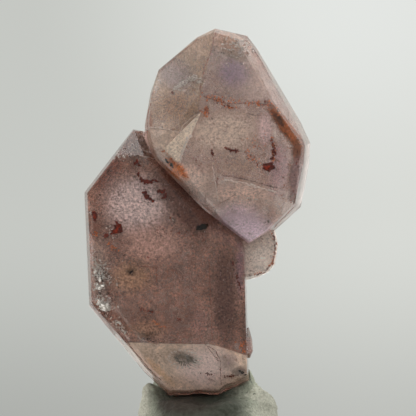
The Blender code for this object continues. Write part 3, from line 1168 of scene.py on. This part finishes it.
RUST_FLECKS = lying_in(
    UPPER,
    Flecks,
    (((0.8, 42.3), (1.2, 41.2)), 46, 0.19, (0.45, 0.3)),
    (((2.2, 43.2), (4.5, 42.0)), 40, 0.18, (0.4, 0.3)),
    (((5.9, 36.7), (6.8, 36.1), (7.5, 35.0)), 36, 0.17, (0.5, 0.5)),
    (((9.2, 35.6), (9.5, 37.0), (9.2, 38.6)), 34, 0.18, (0.3, 0.3)),
    (((7.6, 37.8),), 34, 0.13, (1.2, 1.0)),
    (((0.5, 43.9), (3.4, 42.9), (6.6, 42.9), (9.8, 42.4)), 90, 0.21, (0.4, 0.42)),
    (((9.5, 42.2), (10.8, 39.9), (12.2, 37.6)), 40, 0.18, (0.5, 0.5), (0.2, 0.5)),
    (((-3.7, 35.9), (-2.6, 34.9), (-1.4, 33.5)), 40, 0.26, (0.38, 0.30)),
    (((-3.5, 36.4), (-4.3, 36.9)), 8, 0.2, (0.2, 0.2)),
) + lying_in(
    LOWER,
    Flecks,
    (((-12.8, 26.6),), 8, 0.28, (0.3, 0.3)),
    (((-11.2, 25.3), (-9.7, 24.5)), 18, 0.22, (0.3, 0.3)),
    (((-5.9, 15.8), (-4.0, 14.8)), 22, 0.18, (0.25, 0.2)),
    (((5.6, 12.6),), 26, 0.26, (0.45, 0.8)),
    (((-12.5, 17.9),), 8, 0.22, (0.3, 0.3)),
) + lying_in(
    THIRD,
    Flecks,
    (((9.3, 26.6), (9.75, 25.2), (9.4, 22.9), (8.6, 22.0), (7.0, 21.3)), 60, 0.18, (0.08, 0.08)),
)

DARK_FLECKS = lying_in(
    UPPER,
    Flecks,
    (((-3.9, 35.8), (-3.0, 34.9)), 20, 0.46, (0.06, 0.06)),
    (((1.8, 40.8),), 2, 0.20, (0.02, 0.02)),
    (((6.3, 41.4), (7.7, 41.2)), 8, 0.12, (0.05, 0.05)),
    (((8.7, 28.0),), 10, 0.20, (0.4, 0.3)),
    (((5.0, 49.4),), 40, 0.16, (2.2, 0.9), (0.06, 0.4)),
) + lying_in(
    LOWER,
    Flecks,
    (((0.1, 27.3), (1.2, 27.5)), 22, 0.60, (0.06, 0.10)),
    (((-12.2, 31.4),), 3, 0.34, (0.05, 0.05)),
    (((-8.3, 21.8),), 6, 0.30, (0.15, 0.15)),
    (((-9.1, 23.9),), 3, 0.24, (0.1, 0.1)),
    (((-6.3, 13.4), (-5.4, 13.2)), 10, 0.22, (0.25, 0.12)),
    (((5.3, 9.5), (5.9, 8.9)), 12, 0.30, (0.15, 0.12)),
    (((-11.4, 19.0),), 50, 0.20, (1.2, 3.2), (0.04, 0.2)),
)

WHITE_FLECKS = lying_in(
    UPPER,
    Flecks,
    (((-2.8, 44.5), (-1.3, 45.6), (-0.4, 46.0), (0.6, 45.2)), 120, 0.26, (0.40, 0.3), (0.04, 0.24)),
    (((4.0, 51.4), (6.4, 50.6)), 50, 0.16, (0.4, 0.25), (0.05, 0.4)),
    (((5.2, 50.0),), 120, 0.26, (2.2, 1.3), (0.04, 0.28)),
    (((3.0, 42.7), (3.6, 42.6)), 8, 0.15, (0.05, 0.05)),
    (((3.4, 30.3), (5.6, 30.8), (7.8, 31.2)), 110, 0.14, (0.8, 0.6), (0.05, 0.4)),
) + lying_in(
    LOWER,
    Flecks,
    (((-12.2, 22.8), (-11.4, 20.4)), 130, 0.24, (1.0, 0.8), (0.05, 0.4)),
    (((-12.2, 18.4), (-11.2, 17.0)), 170, 0.26, (1.0, 0.8), (0.05, 0.4)),
    (((-12.1, 17.9), (-11.4, 17.2)), 30, 0.62, (0.45, 0.3), (0.05, 0.2)),
    (((-12.5, 21.6), (-12.0, 20.0)), 26, 0.50, (0.4, 0.4), (0.05, 0.2)),
    (((-9.9, 15.5),), 6, 0.36, (0.12, 0.12), (0.05, 0.2)),
    (((-13.0, 24.6), (-12.6, 19.6)), 40, 0.28, (0.35, 0.6), (0.05, 0.3)),
    (((-11.0, 27.4), (-10.6, 26.0)), 16, 0.22, (0.3, 0.3), (0.05, 0.3)),
    (((-9.0, 14.3),), 4, 0.30, (0.1, 0.1), (0.05, 0.2)),
) + lying_in(
    UPPER,
    Flecks,
    (((5.0, 28.6),), 60, 0.12, (3.0, 2.0), (0.05, 0.2)),
) + lying_in(
    LOWER,
    Flecks,
    (((-10.6, 15.6), (-8.7, 14.2)), 44, 0.20, (0.4, 0.35), (0.05, 0.5)),
    (((-8.0, 37.6), (-9.0, 36.3), (-10.0, 36.1)), 60, 0.16, (0.6, 0.4), (0.05, 0.5)),
    (((-13.3, 29.1),), 12, 0.24, (0.15, 0.2), (0.05, 0.3)),
    (((-3.1, 28.3),), 3, 0.16, (0.05, 0.05), (0.05, 0.2)),
    (((-3.5, 22.0),), 120, 0.09, (9.0, 14.0), (0.05, 0.5)),
)

RED_SEAMS = lying_in(
    UPPER,
    Seam,
    (((0.7, 43.6), (3.4, 42.75), (6.6, 42.75), (9.2, 42.5)), 0.10, 0.30),
    (((2.28, 51.6), (1.6, 49.0), (0.9, 47.0), (0.3, 44.6), (0.5, 43.9)), 0.11),
    (((2.4, 33.6), (2.5, 32.4)), 0.20),
    (((2.5, 30.1), (3.6, 30.8), (4.8, 31.6)), 0.10),
    (((12.0, 29.9), (10.7, 28.5), (9.6, 27.4)), 0.10),
    (((-4.6, 46.9), (-2.2, 48.9), (0.0, 50.7)), 0.09, 0.1),
    (((-6.3, 39.0), (-6.2, 41.5), (-5.5, 44.2)), 0.09, 0.1),
) + lying_in(
    LOWER,
    Seam,
    (((-7.8, 22.5), (-5.1, 22.4), (-5.1, 20.1)), 0.12),
    (((-3.6, 13.0), (-2.2, 13.05), (-1.0, 12.85), (1.2, 12.9)), 0.11),
    (((1.3, 12.6), (2.3, 11.9), (2.9, 10.5)), 0.14),
    (((0.6, 13.2), (1.6, 12.0), (2.2, 11.2), (2.7, 10.7)), 0.11),
    (((2.9, 10.5), (2.85, 9.0), (2.9, 7.6)), 0.09),
    (((1.4, 23.5), (1.6, 18.6), (1.8, 13.2)), 0.08),
    (((-9.4, 14.0), (-7.8, 11.8), (-6.0, 9.6), (-4.6, 8.2)), 0.12),
) + lying_in(
    THIRD,
    Seam,
    (((8.6, 29.0), (9.4, 27.2), (9.85, 25.2), (9.45, 22.8), (8.8, 22.0), (7.4, 21.3)), 0.26, 0.25),
)

DARK_SEAMS = lying_in(
    UPPER,
    Seam,
    (((3.16, 33.8), (5.6, 33.4), (8.5, 32.6), (9.9, 32.2)), 0.13),
    (((-4.0, 43.2), (-2.4, 42.3), (-0.9, 41.9), (0.4, 41.5)), 0.08),
    (((6.2, 41.5), (7.0, 41.2), (7.9, 41.3)), 0.10),
) + lying_in(
    LOWER,
    Seam,
    (((-12.6, 21.6), (-12.1, 21.1), (-11.7, 20.5)), 0.22),
    (((-9.0, 13.0), (-6.6, 13.1), (-4.6, 13.1)), 0.09),
)

PALE_SEAMS = lying_in(
    UPPER,
    Seam,
    (((-2.1, 35.3), (-1.9, 36.6), (-1.3, 38.0), (-0.9, 38.8)), 0.34),
    (((0.5, 41.7), (-0.9, 40.8), (-1.8, 40.0), (-2.2, 39.1), (-3.7, 39.5), (-5.9, 39.8)), 0.09),
    (((3.3, 33.3), (5.8, 32.9), (8.4, 32.1), (9.8, 31.8)), 0.26),
    (((2.6, 30.6), (2.2, 33.0), (1.8, 35.0)), 0.12),
) + lying_in(
    LOWER,
    Seam,
    (((-6.8, 36.9), (-4.9, 36.3)), 0.12),
    (((-7.2, 36.3), (-5.2, 35.8)), 0.09),
)


@dataclass(frozen=True)
class Feathers:
    """Short lines that spread from the dark spot in the lower crystal's bottom face.

    inner and outer are where they start and where the longest ends, as shares of the spot's half-lengths.
    They are longest towards lean, and shortest is the share that is left away from it. lengths and widths
    are the least and most share of each line's own, and depths lie under the front.
    """

    inner: float
    outer: float
    width: float
    seed: int
    centre: Place = (-1.9, 11.0)
    spot: Place = (1.35, 0.8)
    count: int = 34
    lean: float = -35.0
    shortest: float = 0.35
    stray: float = 0.4
    lengths: Place = (0.4, 1.0)
    widths: Place = (0.6, 1.3)
    depths: Place = (0.08, 0.2)

    def seams(self) -> tuple[Seam, ...]:
        """Scatters the lines.

        Returns:
            The lines.
        """
        dice = random.Random(self.seed)
        seams = []
        for number in range(self.count):
            angle = math.tau * (number + dice.uniform(-self.stray, self.stray)) / self.count
            favour = max(0.0, math.cos(angle - math.radians(self.lean)))
            reach = (self.outer - self.inner) * (self.shortest + (1.0 - self.shortest) * favour)
            ends = tuple(
                (
                    self.centre[0] + share * self.spot[0] * math.cos(angle),
                    self.centre[1] + share * self.spot[1] * math.sin(angle),
                )
                for share in (self.inner, self.inner + reach * dice.uniform(*self.lengths))
            )
            width = self.width * dice.uniform(*self.widths)
            seams.append(Seam(LOWER, ends, width, dice.uniform(*self.depths)))
        return tuple(seams)


IRON = FleckFinish("iron_red", (0.23, 0.026, 0.010), (0.040, 0.007, 0.004), 0.35, 1.0, 0.2, 0.1)
RUST = FleckFinish("rust_orange", (0.78, 0.23, 0.06), (0.30, 0.08, 0.03), 0.5)
VOID = FleckFinish("dark_void", (0.024, 0.011, 0.006), (0.006, 0.003, 0.002), 0.6, 1.0, 0.3, 0.0)
FRACTURE = FleckFinish("white_fracture", (0.98, 0.92, 0.86), (0.42, 0.35, 0.30), 0.2, 0.85, 0.12, 0.8)
RED_LINE = FleckFinish("red_brown_line", (0.34, 0.13, 0.09), (0.16, 0.06, 0.045), 0.5, 0.75)
DARK_LINE = FleckFinish("dark_line", (0.16, 0.10, 0.08), (0.07, 0.04, 0.035), 0.5, 0.75)
PALE_LINE = FleckFinish("pale_line", (1.0, 0.92, 0.86), (0.90, 0.76, 0.68), 0.5, 0.65)
FEATHER = FleckFinish("grey_feather", (0.30, 0.23, 0.18), (0.17, 0.13, 0.10), 0.5, 0.9)


@dataclass
class CrystalCluster:
    """The three intergrown crystals: clear skin, hazes, inclusions and healed cracks."""

    seed: int = 41
    flat_angle: float = 0.4
    sharp_angle: float = 6.0
    edge_width: float = 0.07
    shell_gap: float = 0.06
    fleck_margin: float = 0.05
    fleck_stray: float = 0.55
    fleck_sizes: Place = (0.4, 1.15)
    fleck_turn: float = 0.5
    fleck_lengths: Place = (0.9, 1.9)
    fleck_thickness: float = 0.3
    fleck_width: float = 0.75
    fleck_jag: float = 0.3
    seam_step: float = 0.35
    seam_stray: float = 0.25
    seam_turn: float = 0.12
    seam_widths: Place = (0.5, 1.2)
    seam_overlap: float = 0.72
    seam_thickness: float = 0.4
    seam_jag: float = 0.2

    def build(self) -> None:
        """Builds and dresses every piece of the crystals."""
        self.build_skin()
        for haze in HAZES:
            self.build_haze(haze)
        kinds = (
            ("iron_flakes", IRON_FLECKS, IRON),
            ("rust_flakes", RUST_FLECKS, RUST),
            ("dark_voids", DARK_FLECKS, VOID),
            ("white_fractures", WHITE_FLECKS, FRACTURE),
            ("red_seams", RED_SEAMS, RED_LINE),
            ("dark_seams", DARK_SEAMS, DARK_LINE),
            ("pale_seams", PALE_SEAMS + Feathers(1.15, 2.2, width=0.20, seed=61).seams(), PALE_LINE),
            ("spot_feathers", Feathers(0.4, 1.6, width=0.18, seed=67).seams(), FEATHER),
        )
        for number, (name, groups, finish) in enumerate(kinds):
            self.build_inclusions(name, groups, finish, random.Random(self.seed + number))

    def build_skin(self) -> Object:
        """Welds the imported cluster, flattens its faces and softens its edges.

        Returns:
            The skin.
        """
        bm = welded_copy(CLUSTER_NODE)
        flat = math.radians(self.flat_angle)
        bmesh.ops.dissolve_limit(bm, angle_limit=flat, verts=bm.verts[:], edges=bm.edges[:])
        bmesh.ops.bevel(
            bm,
            geom=sharp_edges(bm, self.sharp_angle),
            offset=self.edge_width,
            affect="EDGES",
            segments=2,
            profile=0.5,
            material=-1,
            clamp_overlap=True,
        )
        bmesh.ops.triangulate(bm, faces=bm.faces[:])
        skin = add_piece("crystal_skin", bm, CLEAR_AMETHYST.material())
        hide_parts(CLUSTER_NODE)
        return ride(skin)

    def build_haze(self, haze: Haze) -> Object:
        """Builds one haze, broken at the foot where the crystal is.

        Args:
            haze: The haze.

        Returns:
            The piece.
        """
        shape = haze.crystal.shape(haze.deeper, haze.sunk, haze.cuts, haze.back)
        piece = add_piece(haze.finish.name, shape, haze.finish.material())
        if haze.crystal is LOWER:
            for centre, radius in FOOT_SHELLS:
                self.carve(piece, centre, radius + self.shell_gap)
        return ride(piece)

    @staticmethod
    def carve(piece: Object, centre: Point, radius: float) -> None:
        """Cuts a ball out of a piece.

        Args:
            piece: The piece.
            centre: The ball's middle.
            radius: Its radius.
        """
        bm = bmesh.new()
        bmesh.ops.create_icosphere(bm, subdivisions=3, radius=radius, matrix=Matrix.Translation(centre))
        ball = add_piece("shell_ball", bm, piece.data.materials[0])
        cut = piece.modifiers.new("shell", "BOOLEAN")
        cut.operation = "DIFFERENCE"
        cut.solver = "EXACT"
        cut.object = ball
        carved = piece.evaluated_get(bpy.context.evaluated_depsgraph_get())
        mesh = bpy.data.meshes.new_from_object(carved)
        piece.modifiers.clear()
        piece.data = mesh
        bpy.data.objects.remove(ball, do_unlink=True)

    def build_inclusions(
        self, name: str, groups: tuple[Flecks | Seam, ...], finish: FleckFinish, dice: random.Random
    ) -> Object:
        """Builds the inclusions of one kind just under the crystals' fronts.

        Args:
            name: The piece's name.
            groups: Where they lie.
            finish: What they are made of.
            dice: What scatters them.

        Returns:
            The piece.
        """
        bm = bmesh.new()
        for group in groups:
            if isinstance(group, Seam):
                self.add_seam(bm, group, dice)
            else:
                self.add_flecks(bm, group, dice)
        return ride(add_piece(name, bm, finish.material()))

    def add_flecks(self, bm: BMesh, group: Flecks, dice: random.Random) -> None:
        """Scatters flat angular flecks.

        Args:
            bm: The shape they are added to.
            group: Where they lie.
            dice: What scatters them.
        """
        for _ in range(group.count):
            x, z = self.along(group.places, dice.random())
            x += dice.gauss(0, self.fleck_stray) * group.spread[0]
            z += dice.gauss(0, self.fleck_stray) * group.spread[1]
            y = group.crystal.front_depth(x, z) + dice.uniform(*group.depth)
            size = group.size * dice.uniform(*self.fleck_sizes) / 2
            if not group.crystal.holds(Vector((x, y, z)), self.fleck_margin):
                continue
            turn = (
                Matrix.Rotation(dice.uniform(-self.fleck_turn, self.fleck_turn), 4, "X")
                @ Matrix.Rotation(dice.uniform(-self.fleck_turn, self.fleck_turn), 4, "Z")
                @ Matrix.Rotation(dice.uniform(0, math.tau), 4, "Y")
            )
            sizes = (dice.uniform(*self.fleck_lengths), self.fleck_thickness, self.fleck_width)
            stretch = Matrix.Diagonal((*(size * each for each in sizes), 1))
            place = Matrix.Translation((x, y, z)) @ turn @ stretch
            self.add_grain(bm, place, self.fleck_jag * size, dice)

    def add_seam(self, bm: BMesh, seam: Seam, dice: random.Random) -> None:
        """Strings thin grains end to end along a seam.

        Args:
            bm: The shape they are added to.
            seam: The seam.
            dice: What makes them uneven.
        """
        for start, end in zip(seam.places, seam.places[1:]):
            run = (Vector(end) - Vector(start)).length
            count = max(2, round(run / self.seam_step))
            angle = -math.atan2(end[1] - start[1], end[0] - start[0])
            for number in range(count):
                x, z = Vector(start).lerp(Vector(end), (number + 0.5) / count)
                x += dice.gauss(0, self.seam_stray) * seam.width
                z += dice.gauss(0, self.seam_stray) * seam.width
                y = seam.crystal.front_depth(x, z) + seam.depth
                turn = Matrix.Rotation(angle + dice.uniform(-self.seam_turn, self.seam_turn), 4, "Y")
                width = seam.width * dice.uniform(*self.seam_widths) / 2
                length = run / count * self.seam_overlap
                stretch = Matrix.Diagonal((length, width * self.seam_thickness, width, 1))
                place = Matrix.Translation((x, y, z)) @ turn @ stretch
                self.add_grain(bm, place, self.seam_jag * width, dice)

    @staticmethod
    def add_grain(bm: BMesh, matrix: Matrix, jag: float, dice: random.Random) -> None:
        """Adds one jagged grain.

        Args:
            bm: The shape it is added to.
            matrix: Its place, turn and size.
            jag: How far its corners are moved.
            dice: What moves them.
        """
        made = bmesh.ops.create_icosphere(bm, subdivisions=1, radius=1.0, matrix=matrix)
        for vert in made["verts"]:
            vert.co += Vector(dice.uniform(-jag, jag) for _ in range(3))

    @staticmethod
    def along(places: tuple[Place, ...], share: float) -> Place:
        """A place part of the way along a line of places.

        Args:
            places: The line's corners.
            share: How far along, from 0 to 1.

        Returns:
            The place.
        """
        if len(places) == 1:
            return places[0]
        run = share * (len(places) - 1)
        index = min(int(run), len(places) - 2)
        return tuple(Vector(places[index]).lerp(Vector(places[index + 1]), run - index))


@dataclass
class Putty:
    """The lump of putty that the crystal stands in.

    Each kind of waves on it has a height, a pitch, and its fading, spacing and number of layers.
    """

    cuts: int = 1
    smoothings: int = 2
    smooth_share: float = 0.4
    lump: float = 0.14
    lump_pitch: float = 0.9
    lump_layers: tuple[float, float, int] = (0.9, 2.1, 3)
    grain: float = 0.07
    grain_pitch: float = 3.3
    grain_layers: tuple[float, float, int] = (0.7, 2.2, 3)
    grain_shift: Point = (5, 2, 8)
    foot_height: float = 0.05
    calm_height: float = 1.5

    def build(self) -> Object:
        """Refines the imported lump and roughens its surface.

        Returns:
            The putty.
        """
        bm = welded_copy(PUTTY_NODE)
        self.refine(bm)
        free = [vert for vert in bm.verts if vert.co.z > self.foot_height]
        every_way = {"use_axis_x": True, "use_axis_y": True, "use_axis_z": True}
        for _ in range(self.smoothings):
            bmesh.ops.smooth_vert(bm, verts=free, factor=self.smooth_share, **every_way)
        self.refine(bm)
        bm.normal_update()
        moves = {vert: self.rise(vert) for vert in bm.verts if vert.co.z > self.foot_height}
        for vert, move in moves.items():
            vert.co += move
        lump = add_piece("putty_clay", bm, PuttyFinish().material())
        lump.data.shade_smooth()
        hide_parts(PUTTY_NODE)
        return ride(lump)

    def refine(self, bm: BMesh) -> None:
        """Splits every face of a shape into smaller ones."""
        bmesh.ops.subdivide_edges(bm, edges=bm.edges[:], cuts=self.cuts, use_grid_fill=True)
        bmesh.ops.triangulate(bm, faces=bm.faces[:])

    def rise(self, vert: BMVert) -> Vector:
        """How far a point of the surface is moved outwards.

        Args:
            vert: The point.

        Returns:
            The move.
        """
        broad = noise.fractal(vert.co * self.lump_pitch, *self.lump_layers)
        shifted = vert.co * self.grain_pitch + Vector(self.grain_shift)
        fine = noise.fractal(shifted, *self.grain_layers)
        calm = min(1.0, vert.co.z / self.calm_height)
        return vert.normal * (self.lump * broad + self.grain * fine) * calm


@dataclass(frozen=True)
class Softbox:
    """A square lamp that faces the specimen: its place and width in millimetres, and its radiance."""

    name: str
    place: Point
    size: float
    radiance: float
    target: Point = (0, 0, 28)

    def build(self) -> None:
        """Hangs the lamp."""
        data = bpy.data.lights.new(self.name, "AREA")
        data.size = self.size * MM
        data.energy = self.radiance * math.pi * data.size**2
        light = bpy.data.objects.new(self.name, data)
        light.location = Vector(self.place) * MM
        sight = Vector(self.target) * MM - light.location
        light.rotation_euler = sight.to_track_quat("-Z", "Y").to_euler()
        bpy.context.scene.collection.objects.link(light)


@dataclass
class Studio:
    """The stage: a pale round table, a softly lit screen, lights and the camera."""

    table_radius: float = 58.0
    table_thickness: float = 5.0
    table_segments: int = 160
    table_edge: float = 0.8
    screen_distance: float = 900.0
    screen_size: float = 1400.0
    camera_distance: float = 450.0
    camera_x: float = 1.3
    camera_z: float = 29.75
    focus_depth: float = -3.0
    sensor: float = 36.0
    clip: Place = (0.01, 5.0)
    surround: Colour = (0.98, 1.0, 0.97)
    surround_ramps: tuple[tuple, ...] = (("Y", -0.62, -0.25, 0.32, 1.14), ("Z", 0.15, 0.50, 0.32, 1.18))
    softboxes: tuple[Softbox, ...] = (
        Softbox("top_softbox", (0.0, 60.0, 430.0), 560.0, 1.85),
        Softbox("left_softbox", (-430.0, 60.0, 130.0), 480.0, 1.1),
        Softbox("right_softbox", (430.0, 30.0, 130.0), 560.0, 1.3),
        Softbox("front_softbox", (0.0, -300.0, 300.0), 300.0, 1.65),
    )

    def build(self) -> None:
        """Builds the stage, the lights and the camera."""
        self.build_table()
        self.build_screen()
        for softbox in self.softboxes:
            softbox.build()
        self.build_surround()
        self.build_camera()

    def build_table(self) -> None:
        """A round pale table top under the putty."""
        bm = bmesh.new()
        bmesh.ops.create_cone(
            bm,
            cap_ends=True,
            segments=self.table_segments,
            radius1=self.table_radius,
            radius2=self.table_radius,
            depth=self.table_thickness,
            matrix=Matrix.Translation((0, 0, -self.table_thickness / 2)),
        )
        bmesh.ops.bevel(
            bm,
            geom=sharp_edges(bm, 60.0),
            offset=self.table_edge,
            affect="EDGES",
            segments=3,
            profile=0.5,
            material=-1,
        )
        add_piece("table", bm, TableFinish().material())

    def build_screen(self) -> None:
        """A softly lit screen far behind the specimen."""
        bm = bmesh.new()
        bmesh.ops.create_grid(bm, x_segments=1, y_segments=1, size=self.screen_size / 2)
        upright = Matrix.Rotation(math.pi / 2, 3, "X")
        bmesh.ops.rotate(bm, verts=bm.verts[:], cent=(0, 0, 0), matrix=upright)
        bmesh.ops.translate(bm, verts=bm.verts[:], vec=(0, self.screen_distance, 0))
        add_piece("screen", bm, ScreenFinish().material())

    def build_surround(self) -> None:
        """A pale surround, dim low behind the camera and brightest overhead."""
        world = bpy.data.worlds.new("pale_surround")
        world.use_nodes = True
        nodes = world.node_tree.nodes
        links = world.node_tree.links
        split = nodes.new("ShaderNodeSeparateXYZ")
        links.new(nodes.new("ShaderNodeTexCoord").outputs["Generated"], split.inputs["Vector"])
        brighter = nodes.new("ShaderNodeMath")
        brighter.operation = "MAXIMUM"
        for number, (axis, *limits) in enumerate(self.surround_ramps):
            ramp = nodes.new("ShaderNodeMapRange")
            for name, limit in zip(("From Min", "From Max", "To Min", "To Max"), limits):
                ramp.inputs[name].default_value = limit
            links.new(split.outputs[axis], ramp.inputs["Value"])
            links.new(ramp.outputs["Result"], brighter.inputs[number])
        background = nodes["Background"]
        background.inputs["Color"].default_value = (*self.surround, 1.0)
        links.new(brighter.outputs[0], background.inputs["Strength"])
        bpy.context.scene.world = world

    def build_camera(self) -> None:
        """A level camera whose frame is the photograph's, at the depth of the crystals' fronts."""
        data = bpy.data.cameras.new("camera")
        data.sensor_width = self.sensor
        frame_width = PHOTO_PIXELS * MM_PER_PIXEL
        data.lens = self.sensor * (self.camera_distance + self.focus_depth) / frame_width
        data.clip_start, data.clip_end = self.clip
        camera = bpy.data.objects.new("camera", data)
        camera.location = Vector((self.camera_x, -self.camera_distance, self.camera_z)) * MM
        camera.rotation_euler = (math.radians(90), 0, 0)
        bpy.context.scene.collection.objects.link(camera)
        bpy.context.scene.camera = camera


def set_quality() -> None:
    """Colours as seen, and enough bounces to see into the crystals."""
    scene = bpy.context.scene
    scene.view_settings.view_transform = "Standard"
    scene.cycles.max_bounces = 16
    scene.cycles.diffuse_bounces = 4
    scene.cycles.transmission_bounces = 12
    scene.cycles.transparent_max_bounces = 32
    scene.cycles.use_denoising = True


def main() -> None:
    """Builds the specimen and its studio."""
    logging.basicConfig(level=logging.INFO, format="%(name)s: %(message)s")
    CrystalCluster().build()
    Putty().build()
    Studio().build()
    set_quality()


if __name__ == "__main__":
    main()
